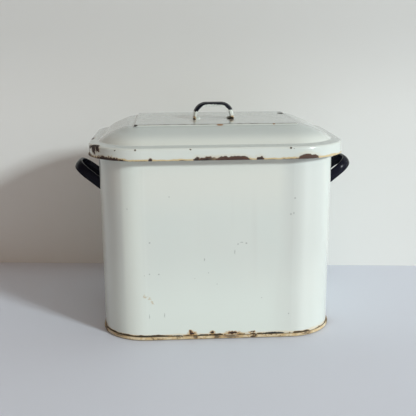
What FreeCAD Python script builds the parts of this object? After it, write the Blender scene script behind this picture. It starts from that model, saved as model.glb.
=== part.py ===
"""An enamelled steel bread bin: a wrapped bin with two loop handles and a lift-off lid.

Millimetres. The origin is the middle of the foot on the ground, +Z is up, the front faces -Y
and the side handles stand out along X.
"""
import FreeCAD, Part
import math
import os
import Sketcher
from FreeCAD import Placement, Rotation, Vector

# Driving sizes in millimetres, and angles in degrees. Each is written here once.
SIZES = [
    # the wrapped wall, measured on its outer face
    ("body_width", 330.0),
    ("body_depth", 246.0),
    ("body_height", 275.2),
    ("body_corner", 63.0),
    ("wall_gauge", 1.2),
    # the rolled rim: how far it stands out, how deep it is, its bend and the gap at its tip
    ("rim_reach", 6.0),
    ("rim_drop", 7.0),
    ("rim_bend", 3.0),
    ("rim_mouth", 1.4),
    # the lap where the ends of the wrapped sheet meet, at the back
    ("lap_width", 12.0),
    ("lap_step", 0.6),
    ("lap_margin", 1.0),
    # the pan under the bin, hemmed round the foot of the wall
    ("base_gauge", 1.0),
    ("base_recess", 4.0),
    ("hem_reach", 2.4),
    ("hem_height", 5.0),
    ("hem_bend", 1.9),
    ("foot_flange", 1.15),
    ("seam_gap", 0.1),
    # the lid's skirt and ledge
    ("lid_gauge", 1.2),
    ("lid_play", 7.2),
    ("lid_seat_gap", 0.3),
    ("skirt_depth", 16.2),
    ("skirt_flare", 1.3),
    ("shoulder_bend", 3.6),
    ("ledge_width", 16.0),
    ("ledge_rise", 1.9),
    ("crease_bend", 3.0),
    # the lid's dome, steeper up to its knee, and its raised panel
    ("dome_rise", 20.6),
    ("dome_run", 39.0),
    ("dome_bend", 45.0),
    ("dome_knee_rise", 8.0),
    ("dome_knee_run", 9.0),
    ("dome_knee_bend", 52.0),
    ("dome_shelf", 50.5),
    ("panel_width", 228.0),
    ("panel_depth", 156.0),
    ("panel_step", 2.0),
    ("panel_draft_angle", 25.0),
    # the strap over the lid
    ("grip_width", 22.0),
    ("grip_span", 55.0),
    ("grip_height", 24.4),
    ("grip_splay", 3.6),
    ("grip_turn", 19.0),
    ("grip_lip", 5.6),
    ("grip_crown", 1.6),
    ("grip_forward", 9.0),
    ("grip_tab", 11.0),
    # the loops on the side walls, a set drop below the rim
    ("loop_drop", 68.2),
    ("loop_rise_angle", 38.0),
    ("loop_reach", 49.8),
    ("loop_half_bar", 30.6),
    ("loop_half_root", 35.1),
    ("loop_turn", 27.0),
    ("loop_width", 14.6),
    ("loop_lip", 5.6),
    ("loop_crown", 2.4),
    ("loop_tab", 19.0),
    ("loop_tab_height", 20.0),
    # what both kinds of strap share
    ("strap_gauge", 1.2),
    ("strap_edge", 2.4),
    ("crown_bend", 14.0),
    ("tab_corner", 4.0),
    # rivets
    ("rivet_shank", 3.2),
    ("rivet_head", 6.4),
    ("rivet_crown", 1.4),
    ("rivet_brim", 0.5),
    ("rivet_tail", 5.8),
    ("rivet_tail_height", 1.1),
    ("rivet_gap", 0.05),
    ("rivet_pitch", 9.6),
    ("grip_rivet_inset", 7.0),
    ("loop_rivet_inset", 11.9),
    # how far a cut runs past what it cuts
    ("overrun", 2.4),
]

doc = FreeCAD.newDocument("bread_bin")
sheet = doc.addObject("Spreadsheet::Sheet", "Sizes")
for row, (alias, number) in enumerate(SIZES, start=1):
    sheet.set(f"A{row}", alias)
    sheet.set(f"B{row}", str(number))
    sheet.setAlias(f"B{row}", alias)
doc.recompute()


class Size:
    """A number worked out from the sheet, kept with the expression that gives it."""

    def __init__(self, number, text):
        self.number = number
        self.text = text

    def __add__(self, other):
        other = as_size(other)
        return Size(self.number + other.number, f"({self.text} + {other.text})")

    def __sub__(self, other):
        other = as_size(other)
        return Size(self.number - other.number, f"({self.text} - {other.text})")

    def __mul__(self, other):
        other = as_size(other)
        return Size(self.number * other.number, f"({self.text} * {other.text})")

    def __truediv__(self, other):
        other = as_size(other)
        return Size(self.number / other.number, f"({self.text} / {other.text})")

    def __neg__(self):
        return Size(-self.number, f"(0 - {self.text})")


def as_size(value):
    return value if isinstance(value, Size) else Size(float(value), str(float(value)))


def size(alias):
    """One driving size from the sheet."""
    return Size(float(getattr(sheet, alias)), f"Sizes.{alias}")


def tangent(angle):
    """The tangent of an angle that the sheet keeps in degrees."""
    return Size(math.tan(math.radians(angle.number)), f"tan({angle.text} * 1 deg)")


def sine(angle):
    return Size(math.sin(math.radians(angle.number)), f"sin({angle.text} * 1 deg)")


def cosine(angle):
    return Size(math.cos(math.radians(angle.number)), f"cos({angle.text} * 1 deg)")


def slope(rise, run):
    """The angle in degrees at which a face climbs by rise over run."""
    angle = math.degrees(math.atan2(rise.number, run.number))
    return Size(angle, f"(atan({rise.text} / {run.text}) / 1 deg)")


ZERO = as_size(0)

# The share of a sheet's thickness that an added pad is sunk into it, so that they fuse.
SUNK = 0.8


# Sketches. Each outline is a list of corners (across, up, bend): bend None leaves a corner sharp.


def new_body(label):
    body = doc.addObject("PartDesign::Body", label)
    body.Label = label
    return body


def new_sketch(body, name, plane, raise_by=None, turn_axis=None, turn_by=None):
    """A sketch on one of the body's own planes, raised along its normal or turned by an angle."""
    sketch = body.newObject("Sketcher::SketchObject", name)
    origin_plane = [part for part in body.Origin.OriginFeatures if part.Role == plane][0]
    sketch.AttachmentSupport = [(origin_plane, "")]
    sketch.MapMode = "FlatFace"
    if raise_by is not None:
        sketch.AttachmentOffset = Placement(Vector(0, 0, raise_by.number), Rotation())
        sketch.setExpression("AttachmentOffset.Base.z", raise_by.text)
    if turn_by is not None:
        sketch.AttachmentOffset = Placement(Vector(), Rotation(turn_axis, turn_by.number))
        sketch.setExpression("AttachmentOffset.Rotation.Angle", f"{turn_by.text} * 1 deg")
    return sketch


def bound(sketch, constraint, length):
    """Adds a dimension and binds it to its expression."""
    index = sketch.addConstraint(constraint)
    sketch.setExpression(f"Constraints[{index}]", length.text)


def pin(sketch, piece, end, across, up):
    """Holds one point of the sketch at its worked-out place."""
    for kind, axis, value in (("DistanceX", -2, across), ("DistanceY", -1, up)):
        if value is ZERO:
            sketch.addConstraint(Sketcher.Constraint("PointOnObject", piece, end, axis))
        else:
            constraint = Sketcher.Constraint(kind, -1, 1, piece, end, value.number)
            bound(sketch, constraint, value)


def bend_points(before, corner, after, radius):
    """The two tangent points and the middle of the arc that rounds a corner."""
    back = (before - corner).normalize()
    ahead = (after - corner).normalize()
    half = back.getAngle(ahead) / 2
    bisector = (back + ahead).normalize()
    arrive = corner + back * (radius / math.tan(half))
    leave = corner + ahead * (radius / math.tan(half))
    middle = corner + bisector * (radius / math.sin(half) - radius)
    return arrive, middle, leave


def draw(sketch, corners, closed=True):
    """Draws straight sides joined by tangent arcs, every corner held by the sheet."""
    count = len(corners)
    spots = [Vector(across.number, up.number, 0) for across, up, _ in corners]
    arrive, middle, leave = list(spots), list(spots), list(spots)
    for i, (_, _, bend) in enumerate(corners):
        if bend is not None:
            after = spots[(i + 1) % count]
            arrive[i], middle[i], leave[i] = bend_points(spots[i - 1], spots[i], after, bend.number)
    sides = []
    for i in range(count if closed else count - 1):
        line = Part.LineSegment(leave[i], arrive[(i + 1) % count])
        sides.append(sketch.addGeometry(line, False))
    for i, (across, up, bend) in enumerate(corners):
        before = sides[i - 1] if closed or i > 0 else None
        after = sides[i] if closed or i < count - 1 else None
        if bend is None:
            if before is None:
                pin(sketch, after, 1, across, up)
                continue
            if after is not None:
                sketch.addConstraint(Sketcher.Constraint("Coincident", before, 2, after, 1))
            pin(sketch, before, 2, across, up)
            continue
        arc = sketch.addGeometry(Part.Arc(arrive[i], middle[i], leave[i]), False)
        turn = (spots[i] - spots[i - 1]).cross(spots[(i + 1) % count] - spots[i]).z
        first, last = (1, 2) if turn > 0 else (2, 1)
        sketch.addConstraint(Sketcher.Constraint("Tangent", before, 2, arc, first))
        sketch.addConstraint(Sketcher.Constraint("Tangent", arc, last, after, 1))
        bound(sketch, Sketcher.Constraint("Radius", arc, bend.number), bend)
        spot = sketch.addGeometry(Part.Point(spots[i]), True)
        sketch.addConstraint(Sketcher.Constraint("PointOnObject", spot, 1, before))
        sketch.addConstraint(Sketcher.Constraint("PointOnObject", spot, 1, after))
        pin(sketch, spot, 1, across, up)


def rectangle(width, depth, middle=ZERO):
    """A rectangle's corners, centred across; its centre is at middle up the sketch."""
    right = width / 2
    top = middle + depth / 2
    bottom = middle - depth / 2
    return [(-right, bottom, None), (right, bottom, None), (right, top, None), (-right, top, None)]


def outline(inset, start_in_middle=False):
    """The wall's outer outline from above, offset inwards, or outwards where inset is negative."""
    right = size("body_width") / 2 - inset
    back = size("body_depth") / 2 - inset
    bend = size("body_corner") - inset
    corners = [(right, -back, bend), (right, back, bend), (-right, back, bend), (-right, -back, bend)]
    if start_in_middle:
        corners.insert(0, (ZERO, -back, None))
    return corners


def circle(sketch, across, up, radius):
    round_hole = sketch.addGeometry(Part.Circle(Vector(across.number, up.number, 0),
                                                Vector(0, 0, 1), radius.number), False)
    bound(sketch, Sketcher.Constraint("Radius", round_hole, radius.number), radius)
    pin(sketch, round_hole, 3, across, up)


# Features


def pad(body, name, sketch, length, draft=None):
    feature = body.newObject("PartDesign::Pad", name)
    feature.Profile = sketch
    feature.setExpression("Length", length.text)
    if draft is not None:
        feature.setExpression("TaperAngle", f"-{draft.text} * 1 deg")
    doc.recompute()
    return feature


def pocket(body, name, sketch, length, against_normal=True):
    """Cuts to a length; the cut must take something away."""
    volume = body.Shape.Volume
    feature = body.newObject("PartDesign::Pocket", name)
    feature.Profile = sketch
    feature.Reversed = not against_normal
    feature.setExpression("Length", length.text)
    doc.recompute()
    if body.Shape.Volume >= volume:
        raise RuntimeError(f"{name} cut nothing")
    return feature


def sweep(body, name, section, path):
    feature = body.newObject("PartDesign::AdditivePipe", name)
    feature.Profile = section
    feature.Spine = path
    doc.recompute()
    return feature


def mirror(body, name, features, plane):
    feature = body.newObject("PartDesign::Mirrored", name)
    feature.Originals = features
    origin_plane = [part for part in body.Origin.OriginFeatures if part.Role == plane][0]
    feature.MirrorPlane = (origin_plane, [""])
    body.Tip = feature
    doc.recompute()
    return feature


def front_section(body, name, corners):
    """A section at the middle of the front, from corners (outwards from the wall, up, bend)."""
    sketch = new_sketch(body, name, "YZ_Plane")
    front = size("body_depth") / 2
    draw(sketch, [(-(front + outward), up, bend) for outward, up, bend in corners])
    return sketch


def ring(body, name, corners):
    """Carries a section once round the bin."""
    section = front_section(body, f"{name}_section", corners)
    path = new_sketch(body, f"{name}_path", "XY_Plane")
    draw(path, outline(ZERO, start_in_middle=True))
    return sweep(body, name, section, path)


# The bin


def make_body_wall():
    """One sheet wrapped round, flanged out at its foot and rolled over outwards at its rim."""
    body = new_body("body_wall")
    gauge = size("wall_gauge")
    foot = size("base_gauge")
    rim = size("body_height")
    curl = rim - size("rim_drop")
    bend = size("rim_bend")
    reach = size("rim_reach")
    mouth = size("rim_mouth")
    flange = size("foot_flange")
    ring(body, "wall_sheet", [
        (-gauge, foot, gauge),
        (flange, foot, None),
        (flange, foot + gauge, None),
        (ZERO, foot + gauge, None),
        (ZERO, rim - gauge, None),
        (reach - gauge, rim - gauge, None),
        (reach - gauge, curl + gauge, None),
        (mouth, curl + gauge, None),
        (mouth, curl, None),
        (reach, curl, bend),
        (reach, rim, bend),
        (-gauge, rim, bend),
    ])
    margin = size("lap_margin")
    lap_foot = size("hem_height") + margin
    lap = new_sketch(body, "lap_plan", "XY_Plane", raise_by=lap_foot)
    back = size("body_depth") / 2
    step = size("lap_step")
    draw(lap, rectangle(size("lap_width"), gauge / 2 + step, middle=back + (step - gauge / 2) / 2))
    pad(body, "lap_seam", lap, curl - margin - lap_foot)
    holes = new_sketch(body, "rivet_hole_plan", "YZ_Plane")
    for across in (rivet_place(), -rivet_place()):
        for off in (size("rivet_pitch") / 2, -size("rivet_pitch") / 2):
            circle(holes, across, loop_height() + off, rivet_hole())
    cut = pocket(body, "rivet_holes", holes, size("body_width") + gauge)
    cut.Midplane = True
    return body


def make_base_pan():
    """A shallow pan pushed up inside the foot, its edge folded out, up and over the wall's flange."""
    body = new_body("base_pan")
    gauge = size("base_gauge")
    gap = size("seam_gap")
    inner = -(size("wall_gauge") + gap)
    floor = size("base_recess") + gauge
    reach = size("hem_reach")
    top = size("hem_height")
    bend = size("hem_bend")
    ring(body, "hem", [
        (inner - gauge, floor, None),
        (inner - gauge, ZERO, None),
        (reach, ZERO, bend),
        (reach, top, bend),
        (gap, top, None),
        (gap, top - gauge, None),
        (reach - gauge, top - gauge, None),
        (reach - gauge, gauge, None),
        (inner, gauge, None),
        (inner, floor, None),
    ])
    plan = new_sketch(body, "floor_plan", "XY_Plane", raise_by=size("base_recess"))
    draw(plan, outline(gauge * SUNK - inner))
    pad(body, "floor", plan, gauge)
    return body


# The lid


def lid_reach():
    """How far the foot of the lid's skirt stands out from the wall."""
    return size("rim_reach") + size("lid_play") + size("lid_gauge")


def ledge_slope():
    return slope(size("ledge_rise"), size("ledge_width") - size("skirt_flare"))


def crease_height():
    """Top of the sheet where the ledge meets the dome: the ledge's underside clears the rim."""
    seat = size("rim_reach") / 2
    ledge_start = lid_reach() - size("skirt_flare")
    crease = lid_reach() - size("ledge_width")
    climbed = (ledge_start - seat) / (ledge_start - crease)
    under = size("body_height") + size("lid_seat_gap")
    thickness = size("lid_gauge") / cosine(ledge_slope())
    return under + thickness + size("ledge_rise") * (as_size(1) - climbed)


def dome_top():
    return crease_height() + size("dome_rise")


def panel_top():
    return dome_top() + size("panel_step")


def underside(across, up, before, after, bend=None):
    """Where the sheet's other face turns, under a corner of its top face between two slopes."""
    mean = (before + after) / 2
    gauge = size("lid_gauge")
    reach = gauge / cosine((before - after) / 2)
    inner_bend = None if bend is None else bend - gauge
    return across - reach * sine(mean), up - reach * cosine(mean), inner_bend


def make_lid_shell():
    """One pressing: a flared skirt, a ledge over the rim, a convex dome and a raised panel."""
    body = new_body("lid_shell")
    gauge = size("lid_gauge")
    reach = lid_reach()
    flare = size("skirt_flare")
    crease = reach - size("ledge_width")
    shoulder_up = crease_height() - size("ledge_rise")
    foot_up = shoulder_up - size("skirt_depth")
    knee = crease - size("dome_knee_run")
    knee_up = crease_height() + size("dome_knee_rise")
    turn_in = crease - size("dome_run")
    shelf = -size("dome_shelf")
    top = dome_top()
    skirt_slope = slope(size("skirt_depth"), flare)
    lower_slope = slope(size("dome_knee_rise"), size("dome_knee_run"))
    upper_slope = slope(top - knee_up, knee - turn_in)
    ring(body, "skirt_and_dome", [
        (reach, foot_up, None),
        (reach - flare, shoulder_up, size("shoulder_bend")),
        (crease, crease_height(), size("crease_bend")),
        (knee, knee_up, size("dome_knee_bend")),
        (turn_in, top, size("dome_bend")),
        (shelf, top, None),
        (shelf, top - gauge, None),
        underside(turn_in, top, upper_slope, ZERO, size("dome_bend")),
        underside(knee, knee_up, lower_slope, upper_slope, size("dome_knee_bend")),
        underside(crease, crease_height(), ledge_slope(), lower_slope),
        underside(reach - flare, shoulder_up, skirt_slope, ledge_slope()),
        (reach - gauge / sine(skirt_slope), foot_up, None),
    ])
    shelf_plan = new_sketch(body, "shelf_plan", "XY_Plane", raise_by=top - gauge)
    draw(shelf_plan, outline(size("dome_shelf") - gauge))
    pad(body, "shelf", shelf_plan, gauge)
    sunk = gauge * SUNK
    panel_plan = new_sketch(body, "panel_plan", "XY_Plane", raise_by=top - sunk)
    lean = tangent(size("panel_draft_angle"))
    spread = lean * sunk * 2
    draw(panel_plan, rectangle(size("panel_width") + spread, size("panel_depth") + spread))
    pad(body, "panel", panel_plan, sunk + size("panel_step"), draft=size("panel_draft_angle"))
    hollow_plan = new_sketch(body, "panel_hollow_plan", "XY_Plane", raise_by=panel_top() - gauge)
    inset = (lean * size("panel_step") + gauge) * 2
    draw(hollow_plan, rectangle(size("panel_width") - inset, size("panel_depth") - inset))
    pocket(body, "panel_hollow", hollow_plan, size("panel_step") + gauge)
    holes = new_sketch(body, "rivet_hole_plan", "XY_Plane", raise_by=panel_top() + size("overrun"))
    for across in (grip_rivet_place(), -grip_rivet_place()):
        circle(holes, across, -size("grip_forward"), rivet_hole())
    pocket(body, "rivet_holes", holes, size("overrun") * 2)
    return body


# Straps: pressed channels with rolled edges and a crowned outer face


def channel(skin, middle, width, lip, crown):
    """A channel's corners, (out, along its width, bend): its crown at skin, its lips turned back."""
    gauge = size("strap_gauge")
    edge = size("strap_edge")
    low = middle - width / 2
    high = middle + width / 2
    return [
        (skin - lip, low, None),
        (skin - crown, low, edge),
        (skin, middle, size("crown_bend")),
        (skin - crown, high, edge),
        (skin - lip, high, None),
        (skin - lip, high - gauge, None),
        (skin - crown - gauge, high - gauge, None),
        (skin - gauge, middle, None),
        (skin - crown - gauge, low + gauge, None),
        (skin - lip, low + gauge, None),
    ]


def tab_corners(outer, inner, middle, half, crown, hand):
    """A foot's tab on one hand of a strap: its outer edge follows the crown, its inner corners are bent."""
    corner = size("tab_corner")
    return [
        ((outer - crown) * hand, middle - half, None),
        (outer * hand, middle, None),
        ((outer - crown) * hand, middle + half, None),
        (inner * hand, middle + half, corner),
        (inner * hand, middle - half, corner),
    ]


def rivet_hole():
    """Radius of the hole that a rivet's shank goes through."""
    return size("rivet_shank") / 2 + size("rivet_gap")


def grip_rivet_place():
    """Distance of the lid handle's rivets from the middle of the lid."""
    root = size("grip_span") / 2 + size("grip_splay")
    return root - size("strap_gauge") - size("grip_rivet_inset")


def loop_height():
    """Height of the middle of the loops' feet, a set drop below the rim."""
    return size("body_height") - size("loop_drop")


def rivet_place():
    """Distance of a side handle's rivets from the middle of the side wall."""
    return size("loop_half_root") - size("strap_gauge") - size("loop_rivet_inset")


def make_lid_handle():
    """A channel strap arched over the panel, its feet cut level and turned inwards as flat tabs."""
    body = new_body("lid_handle")
    gauge = size("strap_gauge")
    ground = panel_top()
    top = ground + size("grip_height")
    half = size("grip_span") / 2
    splay = size("grip_splay")
    middle = -size("grip_forward")
    strap_corners = channel(top, middle, size("grip_width"), size("grip_lip"), size("grip_crown"))
    section = new_sketch(body, "strap_section", "YZ_Plane")
    draw(section, [(along, out, bend) for out, along, bend in strap_corners])
    path = new_sketch(body, "strap_path", "XZ_Plane", raise_by=size("grip_forward"))
    overrun = size("overrun")
    run_out = overrun * splay / size("grip_height")
    draw(path, [
        (ZERO, top, None),
        (half, top, size("grip_turn")),
        (half + splay + run_out, ground - overrun, None),
    ], closed=False)
    strap = sweep(body, "strap_half", section, path)
    mirror(body, "strap", [strap], "YZ_Plane")
    level = new_sketch(body, "foot_level", "XY_Plane", raise_by=ground)
    draw(level, rectangle((half + splay) * 2 + overrun * 4, size("grip_width") + overrun * 2, middle=middle))
    pocket(body, "foot_cut", level, overrun * 2)
    tabs = new_sketch(body, "tab_plan", "XY_Plane", raise_by=ground)
    outer = half + splay - gauge / 2
    inner = outer - size("grip_tab")
    flat = (size("grip_width") - gauge) / 2
    for hand in (1, -1):
        draw(tabs, tab_corners(outer, inner, middle, flat * hand, size("grip_crown"), hand))
    pad(body, "tabs", tabs, gauge)
    holes = new_sketch(body, "rivet_hole_plan", "XY_Plane", raise_by=ground + gauge + overrun)
    for across in (grip_rivet_place(), -grip_rivet_place()):
        circle(holes, across, middle, rivet_hole())
    pocket(body, "rivet_holes", holes, overrun * 2)
    return body


def make_loop(label, side):
    """A channel strap bent to a loop that rises from the wall, its ends turned in as flat tabs."""
    body = new_body(label)
    gauge = size("strap_gauge")
    reach = size("loop_reach")
    bar = size("loop_half_bar")
    root = size("loop_half_root")
    rise = size("loop_rise_angle")
    section = new_sketch(body, "strap_section", "XZ_Plane", turn_axis=Vector(0, 0, 1), turn_by=rise)
    draw(section, channel(reach, ZERO, size("loop_width"), size("loop_lip"), size("loop_crown")))
    path = new_sketch(body, "strap_path", "XY_Plane", turn_axis=Vector(0, 1, 0), turn_by=-rise)
    past_wall = size("loop_width")
    drift = (root - bar) * past_wall / reach
    draw(path, [
        (reach, ZERO, None),
        (reach, bar, size("loop_turn")),
        (-past_wall, root + drift, None),
    ], closed=False)
    strap = sweep(body, "strap_half", section, path)
    mirror(body, "strap", [strap], "XZ_Plane")
    wall = new_sketch(body, "wall_face", "YZ_Plane")
    draw(wall, rectangle((root + past_wall) * 2, past_wall * 4))
    pocket(body, "wall_cut", wall, past_wall * 2)
    tabs = new_sketch(body, "tab_plan", "YZ_Plane")
    outer = root - gauge / 2
    inner = outer - size("loop_tab")
    high = size("loop_tab_height") / 2
    for hand in (1, -1):
        draw(tabs, tab_corners(outer, inner, ZERO, high * hand, size("loop_crown"), hand))
    pad(body, "tabs", tabs, gauge)
    holes = new_sketch(body, "rivet_hole_plan", "YZ_Plane", raise_by=gauge + size("overrun"))
    for across in (rivet_place(), -rivet_place()):
        for up in (size("rivet_pitch") / 2, -size("rivet_pitch") / 2):
            circle(holes, across, up, rivet_hole())
    pocket(body, "rivet_holes", holes, size("overrun") * 2)
    body.Placement = Placement(Vector(), Rotation(Vector(0, 0, 1), 0 if side > 0 else 180))
    body.setExpression("Placement.Base.x", (size("body_width") / 2 * side).text)
    body.setExpression("Placement.Base.z", loop_height().text)
    return body


# Rivets: a coned head over the tab, a shank through tab and sheet, and a flat tail behind the sheet


def rivet_corners(grip):
    """Half a rivet's outline, (from the axis, along it): a coned head, its seat at zero."""
    shank = size("rivet_shank") / 2
    head = size("rivet_head") / 2
    tail = size("rivet_tail") / 2
    crown = size("rivet_crown")
    return [
        (ZERO, crown, None),
        (shank, crown, None),
        (head, size("rivet_brim"), None),
        (head, ZERO, None),
        (shank, ZERO, None),
        (shank, -grip, None),
        (tail, -grip, None),
        (tail, -(grip + size("rivet_tail_height")), None),
        (ZERO, -(grip + size("rivet_tail_height")), None),
    ]


def make_rivet(name, grip, rotation, place):
    """One rivet, turned about its own axis and then set in place."""
    profile = doc.addObject("Sketcher::SketchObject", f"{name}_profile")
    draw(profile, rivet_corners(grip))
    profile.Placement = Placement(Vector(*[part.number for part in place]), rotation)
    for axis, part in zip("xyz", place):
        profile.setExpression(f"Placement.Base.{axis}", part.text)
    rivet = doc.addObject("Part::Revolution", name)
    rivet.Source = profile
    rivet.Axis = rotation.multVec(Vector(0, 1, 0))
    for axis, part in zip("xyz", place):
        rivet.setExpression(f"Base.{axis}", part.text)
    rivet.Angle = 360
    rivet.Solid = True
    doc.recompute()
    return rivet


def make_mirror(name, source, normal, base=None):
    """A mirrored copy of a group of rivets."""
    copy = doc.addObject("Part::Mirroring", name)
    copy.Source = source
    copy.Normal = normal
    if base is not None:
        copy.setExpression("Base.z", base.text)
    doc.recompute()
    return copy


def make_group(label, members):
    group = doc.addObject("Part::Compound", label)
    group.Label = label
    group.Links = members
    doc.recompute()
    return group


def make_side_rivets():
    """Two rivets to each foot of each loop."""
    grip = size("strap_gauge") + size("wall_gauge")
    place = (size("body_width") / 2 + size("strap_gauge"), rivet_place(),
             loop_height() + size("rivet_pitch") / 2)
    rivet = make_rivet("side_rivet", grip, Rotation(Vector(0, 0, 1), -90), place)
    below = make_mirror("side_rivet_below", rivet, Vector(0, 0, 1), base=loop_height())
    pair = make_group("side_rivet_pair", [rivet, below])
    far = make_mirror("side_rivet_far_pair", pair, Vector(0, 1, 0))
    right = make_group("right_handle_rivets", [pair, far])
    copy = make_mirror("left_rivet_copy", right, Vector(1, 0, 0))
    left = make_group("left_handle_rivets", [copy])
    return right, left


def make_lid_rivets():
    """One rivet to each foot of the lid's strap."""
    grip = size("strap_gauge") + size("lid_gauge")
    place = (grip_rivet_place(), -size("grip_forward"), panel_top() + size("strap_gauge"))
    rivet = make_rivet("lid_rivet", grip, Rotation(Vector(1, 0, 0), 90), place)
    copy = make_mirror("lid_rivet_copy", rivet, Vector(1, 0, 0))
    return make_group("lid_handle_rivets", [rivet, copy])


subparts = [
    make_body_wall(),
    make_base_pan(),
    make_loop("left_handle", -1),
    make_loop("right_handle", 1),
    *make_side_rivets(),
    make_lid_shell(),
    make_lid_handle(),
    make_lid_rivets(),
]
doc.recompute()

for item in doc.Objects:
    if "Invalid" in item.State or "Error" in item.State:
        raise RuntimeError(f"{item.Label} failed: {item.State}")
os.makedirs("parts", exist_ok=True)
for subpart in subparts:
    shape = subpart.Shape
    if shape.isNull() or not shape.isValid() or not shape.Solids:
        raise RuntimeError(f"{subpart.Label} has no valid solid")
    box = shape.BoundBox
    print(subpart.Label, len(shape.Solids), "solids", round(shape.Volume, 1), "mm3",
          [round(value, 2) for value in (box.XMin, box.YMin, box.ZMin, box.XMax, box.YMax, box.ZMax)])
for subpart in subparts:
    subpart.Shape.exportStep(f"parts/{subpart.Label}.step")
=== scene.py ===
"""An enamelled bread bin on a pale table: camera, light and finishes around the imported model.

The model is in metres, and what the finishes say of it is in millimetres. The front faces -Y, +Z is up,
and the side loops stand out along X.
"""
import math

import bpy
from mathutils import Matrix, Vector

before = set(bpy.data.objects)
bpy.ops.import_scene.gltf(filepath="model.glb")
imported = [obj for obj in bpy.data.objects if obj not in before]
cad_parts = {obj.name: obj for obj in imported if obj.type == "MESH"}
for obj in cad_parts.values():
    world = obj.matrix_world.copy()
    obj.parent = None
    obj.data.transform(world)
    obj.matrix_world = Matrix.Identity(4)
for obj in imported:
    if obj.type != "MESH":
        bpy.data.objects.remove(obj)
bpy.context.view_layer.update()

MM = 0.001

# Sizes in millimetres, some worked out from the imported pieces and some given


def reach(node, axis):
    """The lowest and the highest point of a piece along an axis."""
    along = [corner[axis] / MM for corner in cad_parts[node].bound_box]
    return min(along), max(along)


X, Y, Z = range(3)
HEM_REACH = 2.4  # how far the hem round the foot stands out from the wall
HEM_TOP = reach("base_pan", Z)[1]
WALL_X = reach("base_pan", X)[1] - HEM_REACH
WALL_Y = reach("base_pan", Y)[1] - HEM_REACH
FRONT, BACK = -WALL_Y, WALL_Y
CORNER_BEND = 63.0
CORNER_X, CORNER_Y = WALL_X - CORNER_BEND, WALL_Y - CORNER_BEND
LID_FOOT, LID_TOP = reach("lid_shell", Z)
LEDGE_RISE = 18.4  # the ledge above the lid's foot
PANEL_RISE = LID_TOP - LID_FOOT
PANEL_X, PANEL_Y = 113.2, 77.2  # half sizes of the panel at its brink

# Colours

WHITE = (0.690, 0.745, 0.700)
WHITE_WARM = (0.700, 0.740, 0.695)
WHITE_COOL = (0.670, 0.735, 0.695)
# The top and left whites below are painted light on the wall's front, and the dull white is painted shade on
# its right
PAINTED_LIGHT_TOP = (0.735, 0.768, 0.708)
WHITE_FOOT = (0.752, 0.823, 0.768)
PAINTED_LIGHT_LEFT = (0.80, 0.865, 0.80)
PAINTED_SHADE_RIGHT = (0.640, 0.680, 0.642)
STREAK = (0.60, 0.62, 0.58)
# grey: painted shade on the lid, and patches on the rivets
FILM_AND_SHADE = (0.475, 0.535, 0.520)
# painted shade on the lid's left-facing faces
PAINTED_SHADE_LEFT = (0.40, 0.41, 0.38)
SCRATCH = (0.16, 0.18, 0.17)
CRACK = (0.30, 0.30, 0.28)
BRINK = (0.11, 0.105, 0.095)
STAIN = (0.60, 0.49, 0.30)
STAIN_HEM = (0.60, 0.44, 0.18)
SMEAR = (0.52, 0.38, 0.17)
# painted reflection of the rusty strap feet
PAINTED_REFLECTION_BROWN = (0.24, 0.18, 0.12)
CREAM = (0.76, 0.64, 0.42)
# painted shade on the hem's left corner
PAINTED_SHADE_CREAM = (0.34, 0.27, 0.17)
OCHRE = (0.42, 0.26, 0.10)
OCHRE_PALE = (0.60, 0.40, 0.17)
# painted shade along the wall's foot and along the hem's lowest edge
PAINTED_SHADE_OLIVE = (0.11, 0.080, 0.040)
RUST_BRIGHT = (0.34, 0.17, 0.07)
RUST_ORANGE = (0.30, 0.14, 0.055)
RUST = (0.120, 0.055, 0.030)
RUST_RED = (0.105, 0.039, 0.018)
RUST_RED_DARK = (0.060, 0.028, 0.018)
RUST_DARK = (0.030, 0.016, 0.011)
# near black: painted shade in crevices, and the deepest colour of some chips
SOOT_AND_SHADE = (0.016, 0.014, 0.014)
NAVY = (0.008, 0.0085, 0.0155)
NAVY_WORN = (0.035, 0.038, 0.050)
SCUFF_LOOP = (0.050, 0.050, 0.056)
SCUFF_STRAP = (0.20, 0.19, 0.18)
STRAP_BORDER = (0.10, 0.10, 0.10)

# Shader values


class Wire:
    """One output socket of a node tree. Arithmetic on it adds Math nodes."""

    def __init__(self, board, socket):
        self.board = board
        self.socket = socket

    def math(self, operation, *values):
        return self.board.node("ShaderNodeMath", {"operation": operation}, values)

    def __add__(self, other):
        return self.math("ADD", self, other)

    def __radd__(self, other):
        return self.math("ADD", other, self)

    def __sub__(self, other):
        return self.math("SUBTRACT", self, other)

    def __rsub__(self, other):
        return self.math("SUBTRACT", other, self)

    def __mul__(self, other):
        return self.math("MULTIPLY", self, other)

    def __rmul__(self, other):
        return self.math("MULTIPLY", other, self)

    def __truediv__(self, other):
        return self.math("DIVIDE", self, other)

    def __rtruediv__(self, other):
        return self.math("DIVIDE", other, self)

    def __neg__(self):
        return self.math("MULTIPLY", self, -1.0)

    def __abs__(self):
        return self.math("ABSOLUTE", self)


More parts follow.
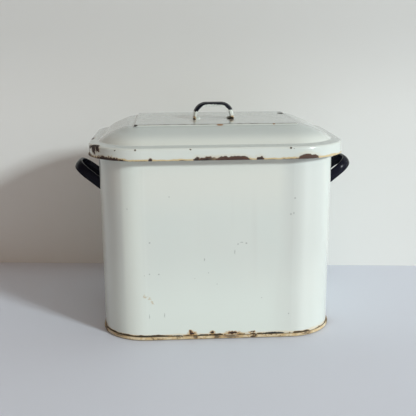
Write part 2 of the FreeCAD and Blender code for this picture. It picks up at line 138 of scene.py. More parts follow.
class Board:
    """A node tree, with short names for the nodes that the finishes use."""

    def __init__(self, tree):
        self.tree = tree

    def node(self, kind, settings, sockets, output=0):
        """Adds a node: its settings first, then a value or a link for each socket.

        sockets is a row in the sockets' order, or a dict by name or number. output is a name or a number,
        or a list of them, which gives a list of wires.
        """
        made = self.tree.nodes.new(kind)
        for key, value in settings.items():
            setattr(made, key, value)
        self.fill(made, sockets if isinstance(sockets, dict) else dict(enumerate(sockets)))
        if isinstance(output, list):
            return [Wire(self, made.outputs[name]) for name in output]
        return Wire(self, made.outputs[output])

    def fill(self, made, sockets):
        """Gives sockets of a node their value or their link, from a dict by name or number."""
        for key, value in sockets.items():
            socket = made.inputs[key]
            if isinstance(value, Wire):
                self.tree.links.new(value.socket, socket)
            elif isinstance(value, tuple) and len(socket.default_value) == 4:
                socket.default_value = (*value, 1.0)
            else:
                socket.default_value = value

    def vector(self, operation, *values, output="Vector"):
        return self.node("ShaderNodeVectorMath", {"operation": operation}, values, output)

    def length(self, point):
        return self.vector("LENGTH", point, output="Value")

    def axes(self, point):
        """X, Y and Z of a point."""
        return self.node("ShaderNodeSeparateXYZ", {}, [point], ["X", "Y", "Z"])

    def join(self, x, y, z):
        return self.node("ShaderNodeCombineXYZ", {}, [x, y, z])

    def ramp(self, value, low, high):
        """0 below low, 1 above high, smooth between; low may be the larger."""
        smooth = {"interpolation_type": "SMOOTHSTEP", "clamp": True}
        return self.node("ShaderNodeMapRange", smooth, [value, low, high, 0.0, 1.0])

    def mix(self, share, one, other):
        """A colour that goes from one to other as share goes from 0 to 1."""
        factor, first_colour, second_colour, mixed_colour = 0, 6, 7, 2
        sockets = {factor: share, first_colour: one, second_colour: other}
        return self.node("ShaderNodeMix", {"data_type": "RGBA"}, sockets, mixed_colour)

    def most(self, *values):
        """The largest of several values."""
        largest = values[0]
        for value in values[1:]:
            largest = self.node("ShaderNodeMath", {"operation": "MAXIMUM"}, [largest, value])
        return largest

    def least(self, *values):
        """The smallest of several values."""
        smallest = values[0]
        for value in values[1:]:
            smallest = self.node("ShaderNodeMath", {"operation": "MINIMUM"}, [smallest, value])
        return smallest


class Finish(Board):
    """A material: its shader, its place on the piece and a colour that is laid on layer by layer."""

    def __init__(self, name, colour):
        self.material = bpy.data.materials.new(name)
        self.material.use_nodes = True
        super().__init__(self.material.node_tree)
        self.place = self.node("ShaderNodeTexCoord", {}, [], "Object")
        self.colour = colour

    def surface(self, sockets):
        """Gives sockets of the material's own shader their value or their link."""
        self.fill(self.tree.nodes["Principled BSDF"], sockets)

    def millimetres(self, point=None):
        """X, Y and Z of a point in millimetres, by default of the place itself."""
        return [axis / MM for axis in self.axes(point or self.place)]

    def tint(self, share, colour):
        """Lays a colour over what is there."""
        self.colour = self.mix(share, self.colour, colour)

    def noise(self, scale, detail=3.0, rough=0.5, stretch=None):
        """Cloudy noise from 0 to 1; scale counts its lumps in a metre, times stretch along each axis."""
        point = self.vector("MULTIPLY", self.place, stretch) if stretch else self.place
        sockets = {"Vector": point, "Scale": scale, "Detail": detail, "Roughness": rough}
        return self.node("ShaderNodeTexNoise", {}, sockets)

    def cells(self, scale, point, output="Distance"):
        """Scattered points, scale of them in a metre: the distance to the nearest, its colour or both."""
        return self.node("ShaderNodeTexVoronoi", {}, {"Vector": point, "Scale": scale}, output)

    def shaken(self, scale, swing, detail=3.0):
        """The place, moved about by cloudy noise that swings it by some millimetres."""
        sockets = {"Vector": self.place, "Scale": scale, "Detail": detail}
        cloud = self.node("ShaderNodeTexNoise", {}, sockets, "Color")
        shift = self.vector("SUBTRACT", cloud, (0.5, 0.5, 0.5))
        return self.vector("ADD", self.place, self.vector("MULTIPLY", shift, (swing * 2 * MM,) * 3))

    def spots(self, places, point):
        """How deep a point lies in the nearest of some spots: 1 at a middle, 0 at an edge.

        Each place is (x, y, z, half width, half depth, half height).
        """
        nearest = -9.0
        for x, y, z, wide, deep, high in places:
            offset = self.vector("SUBTRACT", point, (x * MM, y * MM, z * MM))
            scaled = self.vector("DIVIDE", offset, (wide * MM, deep * MM, high * MM))
            nearest = self.most(nearest, 1.0 - self.length(scaled))
        return nearest

    def line(self, start, end, point):
        """Distance to the straight line from start to end."""
        start = Vector(start) * MM
        run = Vector(end) * MM - start
        offset = self.vector("SUBTRACT", point, tuple(start))
        along = self.vector("DOT_PRODUCT", offset, tuple(run / run.length_squared), output="Value")
        along = self.least(self.most(along, 0.0), 1.0)
        foot = self.vector("MULTIPLY", self.join(along, along, along), tuple(run))
        return self.length(self.vector("SUBTRACT", offset, foot)) / MM

    def path(self, corners, point):
        """Distance to a bent line through some corners."""
        return self.least(*(self.line(start, end, point) for start, end in zip(corners, corners[1:])))

    def strokes(self, places, point):
        """How deep a point lies in the nearest of some strokes: 1 on a middle line, 0 at an edge.

        Each place is (start, end, half width).
        """
        nearest = -9.0
        for start, end, half in places:
            nearest = self.most(nearest, 1.0 - self.line(start, end, point) / half)
        return nearest

    def relief(self, height, distance, over=None):
        """A normal bent by a height from 0 to 1, where 1 is a distance in metres, over another relief."""
        sockets = {"Distance": distance, "Height": height}
        if over:
            sockets["Normal"] = over
        return self.node("ShaderNodeBump", {}, sockets)


class Enamel(Finish):
    """White enamel on steel: faint clouds and rare pinholes, chips down to the metal, and its gloss.

    fine and ragged are the place moved about, for the edges of small marks and of chips.
    """

    def __init__(self, name):
        super().__init__(name, WHITE)
        self.bare = 0.0
        self.fine = self.shaken(900.0, 1.0)
        self.ragged = self.shaken(230.0, 3.4, 4.0)
        self.tint(self.ramp(self.noise(6.0, 2.0), 0.35, 0.75), WHITE_WARM)
        self.tint(self.ramp(self.noise(17.0, 2.0), 0.30, 0.80) * 0.5, WHITE_COOL)
        distance, colour = self.cells(60.0, self.fine, ["Distance", "Color"])
        rare = self.ramp(self.node("ShaderNodeSeparateColor", {}, [colour]), 0.90, 0.91)
        self.tint(self.ramp(distance, 0.050, 0.030) * rare * 0.7, RUST_DARK)

    def chip(self, depth, shallow, deep, halo=0.3, stain=STAIN):
        """Bares the metal where depth is above 0: shallow's colour at the edge, then deep's.

        A halo above 0 stains the enamel round the chip, where depth is above -0.9.
        """
        bare = self.ramp(depth, 0.0, 0.10)
        grain = self.noise(900.0, 3.0, 0.6)
        if halo:
            self.tint(self.ramp(depth, -0.9, 0.05) * halo, stain)
        self.tint(bare, self.mix(self.ramp(depth + 0.9 * grain, 0.45, 0.95), shallow, deep))
        self.bare = self.most(self.bare, bare)

    def fired(self, shine=0.5, level=0.5, dull=None):
        """Gloss over the enamel and dull crusty rust where it is bare, with waves and chipped edges.

        shine is the clear coat's weight, level the shader's own gloss, and dull the enamel's roughness.
        """
        waves = self.relief(self.noise(22.0, 2.0), 0.0004)
        peel = self.relief(self.noise(700.0, 2.0), 0.00003, over=waves)
        crust = self.relief(self.noise(1500.0) * self.bare, 0.0002, over=peel)
        self.surface({
            "Base Color": self.colour,
            "Roughness": (dull or 0.15 + 0.08 * self.noise(30.0, 4.0)) + 0.50 * self.bare,
            "Coat Weight": shine * (1.0 - self.bare),
            "Coat Roughness": 0.06,
            "Specular IOR Level": level,
            "Normal": self.relief(1.0 - self.bare, 0.0003, over=crust),
        })
        return self


def on_front(marks, deep):
    """Spots on the front of the wall, all equally deep, from (x, z, half width, half height)."""
    return [(x, FRONT, z, wide, deep, high) for x, z, wide, high in marks]


def outward(coat, x, y):
    """Millimetres outwards from the wall's outer face, less than 0 inside it.

    The wall is a rectangle out to its corners' middles, widened all round by the corners' bend.
    """
    past_x, past_y = abs(x) - CORNER_X, abs(y) - CORNER_Y
    beyond = coat.length(coat.join(coat.most(past_x, 0.0), coat.most(past_y, 0.0), 0.0))
    return beyond + coat.least(coat.most(past_x, past_y), 0.0) - CORNER_BEND


# The bin


def bin_finish():
    """The wall: white with painted light and shade on its front, scratched, rusty at its foot, its rim, its
    lap and inside, and painted shade in the crevice above the hem.
    """
    coat = Enamel("bin_white_enamel")
    x, y, z = coat.millimetres()
    patchy = coat.noise(55.0, 3.0, 0.6, stretch=(1.0, 1.0, 0.3))
    streak_and_light_wall(coat, x, y, z)
    scratch_wall(coat)
    rust_wall_foot(coat, z, patchy)
    rust_lap(coat, x, y, patchy)
    rust_inside(coat, z, outward(coat, x, y))
    return coat.fired()


def streak_and_light_wall(coat, x, y, z):
    """Faint upright streaks, then painted light and shade on the front: painted light at its top and left
    edge, paler at its foot, painted shade on its right.
    """
    streaks = coat.noise(45.0, 2.0, stretch=(1.0, 1.0, 0.06))
    coat.tint(coat.ramp(streaks, 0.60, 0.80) * 0.20, STREAK)
    front = coat.ramp(y, -95.0, -110.0)
    wavy = z + 16.0 * (coat.noise(9.0) - 0.5)
    # painted light: the top of the front paler, where the lid's shade falls
    coat.tint(front * coat.ramp(wavy, 165.0, 238.0), PAINTED_LIGHT_TOP)
    coat.tint(front * coat.ramp(wavy, 140.0, 40.0) * coat.ramp(x, 112.0, 60.0), WHITE_FOOT)
    # painted shade: the front darker on its right
    coat.tint(front * coat.ramp(x, 78.0, 102.0) * coat.ramp(z, 60.0, 150.0), PAINTED_SHADE_RIGHT)
    # painted light: a paler band where the left corner begins to turn
    coat.tint(front * coat.least(coat.ramp(x, -135.0, -128.0), coat.ramp(x, -96.0, -118.0)), PAINTED_LIGHT_LEFT)


def scratch_wall(coat):
    """Grey specks and scratches, and one ochre smear low on the front."""
    scratches = coat.spots(on_front([
        (-95.2, 143.7, 1.6, 1.6), (-96.4, 98.6, 1.4, 1.3), (-83.6, 97.9, 1.5, 1.5), (-14.7, 98.4, 1.2, 1.2),
        (-67.3, 207.7, 1.2, 1.2), (99.0, 180.6, 1.7, 2.0), (103.0, 181.8, 1.2, 2.4), (26.3, 139.4, 2.0, 1.3),
        (31.5, 141.8, 3.6, 0.9), (37.9, 140.3, 1.9, 1.6), (98.6, 34.9, 1.2, 1.4), (-2.9, 81.9, 0.9, 1.1),
        (-98.0, 36.0, 0.7, 5.0), (-76.8, 37.4, 1.0, 4.6), (-103.5, 96.5, 0.8, 0.8), (22.0, 128.0, 0.7, 5.0),
        (-20.0, 118.0, 1.0, 3.0), (60.0, 60.0, 1.0, 0.8), (104.1, 202.9, 1.9, 1.7),
    ], deep=2.0) + [
        (-124.6, -118.8, 191.0, 1.1, 1.5, 1.1), (-60.0, BACK, 160.0, 2.0, 2.0, 1.6),
        (80.0, BACK, 90.0, 1.6, 2.0, 2.2), (WALL_X, 40.0, 120.0, 2.0, 1.6, 1.4),
        (-WALL_X, -30.0, 80.0, 2.0, 1.8, 1.6),
    ], coat.fine)
    coat.tint(coat.ramp(scratches, 0.0, 0.8) * 0.55, SCRATCH)
    smear = coat.path([(-105.6, FRONT, 66.0), (-98.0, FRONT, 63.0), (-92.0, FRONT, 55.4)], coat.ragged)
    broken = coat.ramp(coat.noise(260.0), 0.40, 0.55)
    coat.tint(coat.ramp(smear, 2.6, 0.4) * broken * 0.6, SMEAR)


def rust_wall_foot(coat, z, patchy):
    """Cream above the hem, rust that creeps up from it, chips round the foot and the rim, and painted shade
    in the crevice above the hem.
    """
    coat.tint(coat.ramp(z + 5.0 * (patchy - 0.5), 9.5, 7.2) * 0.55, CREAM)
    creep = 6.9 + 8.0 * (patchy - 0.5) - z
    coat.chip(coat.least(creep / 2.5, (patchy - 0.47) * 6.0), OCHRE, RUST_DARK, halo=0)
    coat.chip(coat.spots(on_front([
        (-38.0, 9.0, 4.4, 2.6), (-40.5, 11.4, 2.0, 1.6), (-10.3, 9.4, 3.4, 1.8), (20.0, 7.8, 9.0, 1.8),
        (46.8, 9.2, 3.4, 1.0),
    ], deep=3.0) + [
        (163.5, -72.0, 9.0, 3.0, 8.0, 6.0), (-163.0, -70.0, 8.0, 3.0, 12.0, 2.4),
        (60.0, 124.0, 9.0, 14.0, 3.0, 3.5), (-120.0, 121.0, 8.0, 12.0, 5.0, 3.0),
        (166.0, 20.0, 8.0, 3.0, 9.0, 3.0), (-166.0, 30.0, 9.0, 3.0, 12.0, 3.5),
        (30.0, -126.0, 275.0, 9.0, 3.0, 2.5), (-70.0, 126.0, 275.0, 14.0, 3.5, 3.0),
        (169.0, -10.0, 275.0, 3.5, 8.0, 2.5), (-154.0, -108.0, 274.0, 9.0, 9.0, 4.0),
    ], coat.ragged), RUST_ORANGE, RUST_DARK, halo=0.8, stain=OCHRE_PALE)
    # painted shade: near black in stretches of the crevice between the wall and the hem
    crevice_shade = coat.spots(on_front([
        (-96.0, 5.6, 25.0, 1.9), (-60.0, 5.2, 9.0, 1.5), (-24.2, 5.4, 6.5, 1.8), (77.0, 5.8, 17.0, 2.0),
    ], deep=3.0) + [
        (-152.0, -102.0, 5.0, 20.0, 20.0, 1.1), (150.0, -104.0, 5.0, 13.0, 12.0, 0.9),
    ], coat.fine)
    coat.tint(coat.ramp(crevice_shade, 0.0, 0.12), SOOT_AND_SHADE)
    # painted shade: a darker line along the wall's foot, where it meets the hem
    crevice_shade_share = 0.35 + 0.6 * coat.ramp(patchy, 0.40, 0.60)
    coat.tint(coat.ramp(z, HEM_TOP + 1.2, HEM_TOP + 0.4) * crevice_shade_share, PAINTED_SHADE_OLIVE)


def rust_lap(coat, x, y, patchy):
    """A broken line of rust along the outer edge of the lap at the back."""
    edge_x = 6.0
    near = coat.least(coat.ramp(abs(x), 13.5, 11.0), coat.ramp(y, BACK - 5.0, BACK - 3.0))
    broken = coat.ramp(coat.noise(32.0, 5.0, 0.65), 0.44, 0.60)
    edge = near * broken * coat.ramp(abs(x - edge_x + 3.0 * (patchy - 0.5)), 1.5, 0.3)
    coat.tint(edge * 0.5, OCHRE)
    coat.chip(edge * 1.2 - 0.75, RUST, RUST_DARK, halo=0)


def rust_inside(coat, z, out):
    """Crumbs of rust on the inner face, and a stain low down."""
    within = coat.ramp(out, -0.5, -0.9) * coat.ramp(z, 268.0, 262.0)
    crumbs = coat.ramp(coat.cells(150.0, coat.fine), 0.10, 0.06) * coat.ramp(coat.noise(40.0), 0.50, 0.62)
    coat.tint(crumbs * within * 0.6, RUST)
    coat.tint(within * coat.ramp(z, 60.0, 5.0) * 0.25, STAIN)


def foot_finish():
    """The pan: its hem is cream, ochre and rust all round, with painted shade at its left corner, in the
    crevice above it and along the table, and its underside is rusty in patches.
    """
    coat = Enamel("foot_white_enamel")
    x, y, z = coat.millimetres()
    out = outward(coat, x, y)
    hem = coat.ramp(out, -2.5, -1.0)
    patchy = coat.noise(70.0, 4.0, 0.65)
    coat.tint(hem * 0.9, CREAM)
    coat.tint(hem * coat.ramp(coat.noise(120.0), 0.46, 0.60) * 0.7, OCHRE_PALE)
    coat.tint(hem * coat.ramp(coat.noise(260.0, 4.0, 0.6), 0.56, 0.64) * 0.7, OCHRE)
    # painted shade: the hem darker towards its left corner
    coat.tint(hem * coat.ramp(x, -122.0, -150.0) * 0.6, PAINTED_SHADE_CREAM)
    coat.chip(coat.least(hem, (patchy + 0.4 * coat.noise(24.0) - 0.79) * 7.0), OCHRE, RUST_DARK)
    coat.chip(coat.spots([
        (-34.5, -124.5, 4.0, 4.0, 3.0, 3.0), (-3.3, -124.8, 3.5, 5.0, 3.0, 3.0),
        (18.0, -125.0, 3.5, 13.0, 3.0, 2.2), (163.3, -77.8, 3.5, 5.0, 11.0, 4.0),
        (-141.0, -110.0, 4.8, 12.0, 8.0, 1.2), (-164.0, -84.0, 3.0, 5.0, 12.0, 3.0),
        (125.0, -120.0, 3.4, 9.0, 6.0, 1.6),
    ], coat.ragged), RUST_ORANGE, RUST_DARK, halo=0.6, stain=OCHRE)
    # painted shade: near black in the crevice between the hem and the wall
    crevice = hem * coat.ramp(out, 1.3, 0.9) * coat.ramp(z, HEM_TOP - 0.8, HEM_TOP - 0.4)
    coat.tint(crevice * 0.9, SOOT_AND_SHADE)
    # painted shadow: darker along the hem's lowest edge, where it meets the table
    contact_shadow = coat.ramp(z + 2.0 * (patchy - 0.5), 2.2, 1.2) * coat.ramp(out, 0.0, 1.0)
    coat.tint(contact_shadow * 0.75, PAINTED_SHADE_OLIVE)
    ground = coat.ramp(z, 0.5, 0.1) * hem
    coat.chip(coat.least(ground, (coat.noise(60.0, 4.0, 0.6) - 0.50) * 5.0), RUST, RUST_DARK)
    underside = (1.0 - hem) * coat.ramp(z, HEM_TOP + 0.2, HEM_TOP - 0.4)
    coat.chip(coat.least(underside, (coat.noise(38.0, 4.0, 0.7) - 0.63) * 6.0), OCHRE, RUST)
    return coat.fired()


def loop_finish():
    """Black enamel of a bluish cast, scuffed and a little worn."""
    coat = Finish("loop_black_enamel", NAVY)
    scuff = coat.noise(420.0, 4.0, 0.65)
    coat.tint(coat.ramp(scuff, 0.64, 0.74) * 0.5, SCUFF_LOOP)
    coat.tint(coat.ramp(coat.noise(60.0), 0.60, 0.75) * 0.35, NAVY_WORN)
    coat.surface({
        "Base Color": coat.colour,
        "Roughness": 0.20 + 0.25 * coat.ramp(scuff, 0.5, 0.8),
        "Specular IOR Level": 0.10,
        "Normal": coat.relief(coat.noise(240.0), 0.00015),
    })
    return coat


# The lid


def lid_finish():
    """The lid: painted shade as a grey tint, a rusty hem, chips on its corners and its panel, and cracks
    across it.
    """
    coat = Enamel("lid_white_enamel")
    x, y, z = coat.millimetres()
    facing_x, _, facing_up = coat.axes(coat.node("ShaderNodeTexCoord", {}, [], "Normal"))
    rise = z - LID_FOOT
    patchy = coat.noise(75.0, 4.0, 0.6)
    upper_face = coat.ramp(facing_up, 0.0, 0.3)
    paint_lid_shade(coat, x, rise, facing_x, facing_up)
    rust_lid_hem(coat, x, y, rise, patchy)
    chip_left_corner(coat)
    chip_lid_hem(coat)
    chip_panel(coat, upper_face)
    line_panel(coat, x, y, rise, patchy, upper_face)
    rust_strap_feet(coat, upper_face)
    return coat.fired()


def paint_lid_shade(coat, x, rise, facing_x, facing_up):
    """Painted shade as a grey tint on the ledge, the dome and the panel, darker on left-facing faces and
    thin on the right skirt.
    """
    ledge = coat.ramp(facing_up, 0.88, 0.97) * coat.ramp(rise, LEDGE_RISE + 0.8, LEDGE_RISE)
    dome = coat.ramp(rise, LEDGE_RISE + 0.2, LEDGE_RISE + 15.6)
    below_panel = coat.ramp(rise, PANEL_RISE - 1.7, PANEL_RISE - 2.1)
    panel = coat.ramp(facing_up, 0.95, 0.99) * coat.ramp(rise, PANEL_RISE - 0.5, PANEL_RISE - 0.2)
    leftward = coat.ramp(facing_x, -0.12, -0.50) * coat.ramp(rise, LEDGE_RISE - 1.4, LEDGE_RISE + 0.6)
    right_skirt = coat.ramp(x, 60.0, 150.0) * coat.ramp(rise, LEDGE_RISE - 0.9, LEDGE_RISE - 2.9)
    cloud = coat.noise(14.0)
    # painted shade: grey on the ledge and the dome below the panel
    coat.tint(coat.most(ledge, dome) * below_panel * (0.80 + 0.30 * cloud), FILM_AND_SHADE)
    # painted shade on the lid's left-facing faces
    coat.tint(leftward * 0.35, PAINTED_SHADE_LEFT)
    # painted shade on the panel
    coat.tint(panel * (0.70 + 0.50 * cloud), FILM_AND_SHADE)
    # painted shade on the lit right skirt
    coat.tint(right_skirt * 0.25, FILM_AND_SHADE)


def rust_lid_hem(coat, x, y, rise, patchy):
    """A pale ochre line along the skirt's foot, torn and rusty round its left front corner."""
    left = coat.ramp(x, -112.0, -140.0) * coat.ramp(y, 20.0, -40.0)
    right = coat.ramp(x, 120.0, 150.0)
    pale = 1.9 + 5.0 * (patchy - 0.5) + 1.2 * left - rise
    coat.tint(coat.ramp(pale, -1.2, 0.3) * 0.80, STAIN_HEM)
    torn = coat.noise(210.0, 4.0, 0.65)
    line = 0.4 + 5.0 * (patchy - 0.5) + (2.2 + 9.0 * (torn - 0.5)) * left - 0.9 * right - rise
    coat.chip(line / 2.0, RUST, RUST_DARK, halo=0)


def chip_left_corner(coat):
    """One large chip high on the left corner of the skirt, and a long one along its foot."""
    coat.chip(coat.strokes([
        ((-175.0, -84.0, 271.5), (-170.6, -91.6, 274.0), 2.6),
        ((-170.6, -91.6, 274.0), (-162.5, -100.0, 275.4), 2.7),
        ((-175.6, -82.0, 271.0), (-175.8, -82.5, 265.5), 1.9),
        ((-168.5, -96.5, 272.5), (-167.0, -100.0, 268.0), 4.4),
        ((-165.0, -99.0, 275.0), (-159.8, -106.5, 275.0), 2.4),
        ((-163.0, -105.5, 273.5), (-161.0, -107.5, 270.5), 3.6),
        ((-177.0, -40.0, 276.4), (-175.0, -28.0, 276.6), 3.0),
        ((-177.0, -80.0, 260.2), (-155.0, -115.5, 260.2), 3.1),
        ((-155.0, -115.5, 260.0), (-136.0, -129.0, 260.0), 3.4),
    ], coat.shaken(300.0, 5.0, 4.0)), RUST, RUST_DARK, halo=0.5)


def chip_lid_hem(coat):
    """Brown chips along the skirt's foot, then red ones with a dark rim, then pinpricks above them."""
    coat.chip(coat.spots([
        (-91.0, -137.3, 259.8, 3.4, 3.0, 2.6), (-15.5, -137.2, 259.2, 15.0, 3.5, 5.2),
        (-30.0, -137.2, 260.0, 4.0, 3.0, 4.2), (53.6, -137.3, 259.6, 5.8, 3.0, 4.4),
        (86.0, -137.3, 259.4, 2.6, 3.0, 2.2), (103.0, -137.1, 259.4, 3.6, 3.0, 2.4),
    ], coat.ragged), RUST, RUST_DARK)
    red = coat.spots([
        (8.0, -137.2, 259.0, 13.0, 3.5, 5.4), (18.0, -137.2, 259.0, 12.0, 3.5, 5.6),
        (27.0, -137.2, 259.0, 13.0, 3.5, 5.4), (117.0, -135.5, 259.2, 12.0, 6.0, 6.8),
        (125.0, -133.0, 259.2, 10.0, 6.0, 5.4),
        (70.0, 137.2, 260.5, 16.0, 3.5, 3.6), (-110.0, 136.5, 260.0, 9.0, 4.0, 3.0),
        (179.0, 30.0, 260.0, 3.5, 14.0, 3.2), (-179.0, 50.0, 260.0, 3.5, 10.0, 3.0),
    ], coat.shaken(260.0, 2.2, 4.0))
    coat.chip(red, RUST_RED, RUST_RED_DARK)
    coat.tint(coat.ramp(abs(red - 0.06), 0.12, 0.02) * 0.8, RUST_DARK)
    pinpricks = coat.spots([
        (-137.0, -126.8, 272.7, 1.3, 1.5, 1.0), (-110.3, -135.4, 273.9, 1.2, 1.6, 1.2),
        (-38.0, -135.9, 274.0, 1.3, 1.6, 1.2), (94.8, -135.8, 274.1, 1.5, 1.6, 1.4),
    ], coat.fine)
    coat.chip(pinpricks * 1.2, RUST_DARK, RUST_DARK, halo=0.25)


def chip_panel(coat, upper_face):
    """Bright rust on the panel's front edge, and dark chips at two of its corners."""
    orange = coat.spots([(5.1, -77.9, 299.0, 5.2, 2.2, 1.8), (80.3, -77.9, 299.2, 2.4, 1.8, 1.2)], coat.fine)
    coat.tint(coat.ramp(orange, -0.1, 0.3) * 0.9, RUST_BRIGHT)
    corners = coat.spots([
        (-113.0, -77.0, 299.2, 5.5, 3.0, 1.8), (109.0, 48.0, LID_TOP, 5.5, 11.0, 9.0),
    ], coat.ragged)
    coat.chip(corners + 2.0 * upper_face - 2.0, RUST_DARK, SOOT_AND_SHADE, halo=0)


def line_panel(coat, x, y, rise, patchy, upper_face):
    """A dark line round the panel's brink, and fine cracks across the panel."""
    past_brink = coat.most(abs(x) - PANEL_X, abs(y) - PANEL_Y)
    level = coat.ramp(rise, PANEL_RISE - 1.3, PANEL_RISE - 0.5)
    brink = coat.ramp(abs(past_brink + 0.5 * (patchy - 0.5)), 1.0, 0.4) * level
    coat.tint(brink * (0.70 + 0.25 * coat.ramp(patchy, 0.42, 0.60)), BRINK)
    cracks = coat.least(
        coat.path([(-95.5, 72.0, LID_TOP), (-56.4, 13.7, LID_TOP), (-33.3, -19.1, LID_TOP)], coat.fine),
        coat.path([(-24.0, 3.0, LID_TOP), (24.0, -9.0, LID_TOP)], coat.fine))
    coat.tint(coat.ramp(cracks, 1.3, 0.2) * upper_face * 0.35, CRACK)


def rust_strap_feet(coat, upper_face):
    """Ochre round the strap's feet, and a painted reflection of each rusty foot in brown on the panel in
    front of it.
    """
    feet = coat.spots([
        (-29.0, -21.0, LID_TOP, 4.0, 6.0, 3.0), (26.0, -22.0, LID_TOP, 5.0, 7.0, 3.0),
    ], coat.fine)
    coat.tint(coat.ramp(feet, 0.0, 0.5) * upper_face * 0.7, OCHRE)
    # painted reflection: brown on the panel in front of each foot
    foot_reflections = coat.spots([
        (-32.5, -42.0, LID_TOP, 3.0, 20.0, 9.0), (22.8, -38.0, LID_TOP, 4.2, 20.0, 9.0),
    ], coat.ragged)
    coat.tint(coat.ramp(foot_reflections, 0.0, 0.6) * upper_face * 0.75, PAINTED_REFLECTION_BROWN)


def strap_finish():
    """Black along the top of the arch with a ragged border, white on the legs, rust at the feet.

    The arch is taken as a round-cornered line; inward is the depth under its outer face.
    """
    corner_x, corner_z, corner_bend = 8.5, 305.3, 19.0
    coat = Enamel("strap_black_and_white_enamel")
    x, _, z = coat.millimetres(coat.shaken(500.0, 2.2, 4.0))
    past_corner = coat.join(coat.most(abs(x) - corner_x, 0.0), coat.most(z - corner_z, 0.0), 0.0)
    inward = corner_bend - coat.length(past_corner)
    border_z = coat.ramp(x, -20.0, 20.0) * 1.6 + 311.2
    border_depth = 3.3 + 2.6 * coat.ramp(abs(x), 15.0, 24.0)
    black = coat.ramp(inward - border_depth, 0.3, -0.3) * coat.ramp(z - border_z, -0.5, 0.6)
    coat.tint(coat.ramp(inward, 5.0, 5.4) * coat.ramp(z, 305.0, 309.0) * 0.6, STRAP_BORDER)
    scuff = coat.ramp(coat.noise(420.0, 4.0, 0.7), 0.68, 0.74)
    coat.tint(black, coat.mix(scuff * 0.6, NAVY, SCUFF_STRAP))
    worn = coat.spots([(-28.5, -17.0, 301.5, 3.6, 8.0, 4.4), (27.0, -18.0, 302.0, 5.5, 7.0, 3.8)], coat.fine)
    coat.tint(coat.ramp(worn, -0.1, 0.5) * 0.85, OCHRE)
    feet = coat.spots([(25.0, -18.5, 300.5, 5.0, 6.0, 2.9), (-28.5, -18.0, 299.8, 2.4, 5.0, 2.0)], coat.fine)
    coat.chip(feet, RUST_DARK, SOOT_AND_SHADE, halo=0)
    return coat.fired(shine=0.5 * (1.0 - black), level=0.10, dull=0.18 + 0.22 * black)


def rivet_finish():
    """The strap's rivets: white with patches of grey film and without a clear coat."""
    coat = Enamel("rivet_white_enamel")
    coat.tint(coat.ramp(coat.noise(260.0), 0.4, 0.6) * 0.6, FILM_AND_SHADE)
    return coat.fired(shine=0.0, level=0.2)


def put_on(finish, *nodes):
    """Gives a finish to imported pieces."""
    for node in nodes:
        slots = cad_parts[node].data.materials
        slots.clear()
        slots.append(finish.material)


put_on(bin_finish(), "body_wall")
put_on(foot_finish(), "base_pan")
put_on(lid_finish(), "lid_shell")
put_on(strap_finish(), "lid_handle")
put_on(rivet_finish(), "lid_handle_rivets")
put_on(loop_finish(), "left_handle", "right_handle", "left_handle_rivets", "right_handle_rivets")

# Table and wall, in metres

TABLE_COLOUR = (0.69, 0.735, 0.82)
WALL_COLOUR = (0.78, 0.800, 0.780)
FLOOR_REACH = 4.0
WALL_HEIGHT = 3.0
WALL_PLACE = Vector((0.003, 0.212, 0.0))
WALL_TURN = math.radians(5.7)
SHADE_START, SHADE_END = 0.26, 0.46  # the heights between which the wall darkens


def flat(name, corners, colour, roughness):
    """A flat four-cornered sheet for the surroundings, with painted shade high up, and clear from its back.
    """
    mesh = bpy.data.meshes.new(name)
    mesh.from_pydata(corners, [], [(0, 1, 2, 3)])
    sheet = bpy.data.objects.new(name, mesh)
    bpy.context.scene.collection.objects.link(sheet)
    paint = Finish(name + "_paint", colour)
    cloud = paint.ramp(paint.noise(3.0, 2.0), 0.3, 0.8)
    paint.tint(cloud * 0.3, tuple(0.96 * part for part in colour))
    # painted shade: the sheet darker higher up
    shade = paint.ramp(paint.axes(paint.place)[Z], SHADE_START, SHADE_END)
    paint.tint(shade, tuple(0.85 * part for part in colour))
    paint.surface({"Base Color": paint.colour, "Roughness": roughness})
    behind = paint.node("ShaderNodeNewGeometry", {}, [], "Backfacing")
    painted = Wire(paint, paint.tree.nodes["Principled BSDF"].outputs["BSDF"])
    clear = paint.node("ShaderNodeBsdfTransparent", {}, [])
    seen = paint.node("ShaderNodeMixShader", {}, [behind, painted, clear])
    paint.fill(paint.tree.nodes["Material Output"], {"Surface": seen})
    mesh.materials.append(paint.material)


along_wall = Vector((math.cos(WALL_TURN), -math.sin(WALL_TURN), 0.0))
wall_left = WALL_PLACE - FLOOR_REACH * along_wall
wall_right = WALL_PLACE + FLOOR_REACH * along_wall
up_wall = Vector((0.0, 0.0, WALL_HEIGHT))
near_left, near_right = (-FLOOR_REACH, -FLOOR_REACH, 0.0), (FLOOR_REACH, -FLOOR_REACH, 0.0)
flat("table", [near_left, near_right, wall_right, wall_left], TABLE_COLOUR, roughness=0.55)
flat("wall", [wall_left, wall_right, wall_right + up_wall, wall_left + up_wall], WALL_COLOUR, roughness=0.9)

# Camera and light, in metres

CAMERA_PLACE = (-0.0629, -1.0449, 0.4181)
HEADING, DIP, ROLL = math.radians(2.99), math.radians(13.8), math.radians(-0.40)
LENS, SENSOR = 60.6, 36.0  # millimetres
WINDOW_PLACE, WINDOW_AIM = (4.60, -4.29, 2.83), (0.0, 0.0, 0.15)
WINDOW_SIDE, WINDOW_POWER, WINDOW_COLOUR = 0.90, 350.0, (0.90, 0.98, 1.0)
AMBIENT = (0.425, 0.325, 0.270)
FRONT_SIDE = (0.40, 0.39, 0.37)
BRIGHT_SIDE = (0.80, 0.82, 0.82)
DARK_SIDE = (0.10, 0.075, 0.055)
BACKDROP = (0.62, 0.62, 0.60)


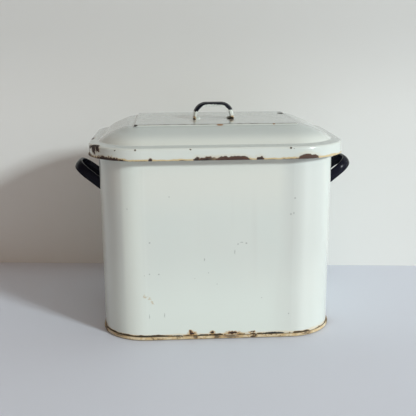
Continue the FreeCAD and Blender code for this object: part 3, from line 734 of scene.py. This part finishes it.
def turned_camera():
    """A camera that heads to the right of straight ahead, dips and rolls by its three angles."""
    level = math.cos(DIP)
    ahead = Vector((math.sin(HEADING) * level, math.cos(HEADING) * level, -math.sin(DIP)))
    right = Vector((math.cos(HEADING), -math.sin(HEADING), 0.0))
    turn = Matrix((right, right.cross(ahead), -ahead)).transposed() @ Matrix.Rotation(ROLL, 3, "Z")
    data = bpy.data.cameras.new("camera")
    data.lens = LENS
    data.sensor_width = SENSOR
    camera = bpy.data.objects.new("camera", data)
    camera.matrix_world = Matrix.Translation(CAMERA_PLACE) @ turn.to_4x4()
    bpy.context.scene.collection.objects.link(camera)
    bpy.context.scene.camera = camera


def window():
    """A square lamp that stands for a window to the right, high in front."""
    data = bpy.data.lights.new("window", "AREA")
    data.size = WINDOW_SIDE
    data.energy = WINDOW_POWER
    data.color = WINDOW_COLOUR
    lamp = bpy.data.objects.new("window", data)
    lamp.location = WINDOW_PLACE
    lamp.rotation_euler = (Vector(WINDOW_AIM) - Vector(WINDOW_PLACE)).to_track_quat("-Z", "Y").to_euler()
    bpy.context.scene.collection.objects.link(lamp)


def room():
    """A warm room, darker to the left. Glossy surfaces see a bright side to the right and a dark ceiling."""
    world = bpy.data.worlds.new("room")
    world.use_nodes = True
    bpy.context.scene.world = world
    board = Board(world.node_tree)
    x, y, z = board.axes(board.node("ShaderNodeTexCoord", {}, [], "Generated"))
    heading = board.node("ShaderNodeMath", {"operation": "ARCTAN2"}, [x, -y])

    def turned(start, end):
        """0 to 1 between two headings in degrees, counted to the right from straight in front."""
        return board.ramp(heading, math.radians(start), math.radians(end))

    seen = board.mix(turned(32.0, 40.0), FRONT_SIDE, BRIGHT_SIDE)
    seen = board.mix(turned(-56.0, -66.0), seen, DARK_SIDE)
    seen = board.mix(board.ramp(z, 0.25, 0.55) * 0.8, seen, DARK_SIDE)
    shade = board.mix(turned(-15.0, -70.0) * 0.80, AMBIENT, DARK_SIDE)
    glossy, direct = board.node("ShaderNodeLightPath", {}, [], ["Is Glossy Ray", "Is Camera Ray"])
    light = board.mix(direct, board.mix(glossy, shade, seen), BACKDROP)
    board.fill(world.node_tree.nodes["Background"], {"Color": light})


turned_camera()
window()
room()
bpy.context.scene.view_settings.view_transform = "Standard"
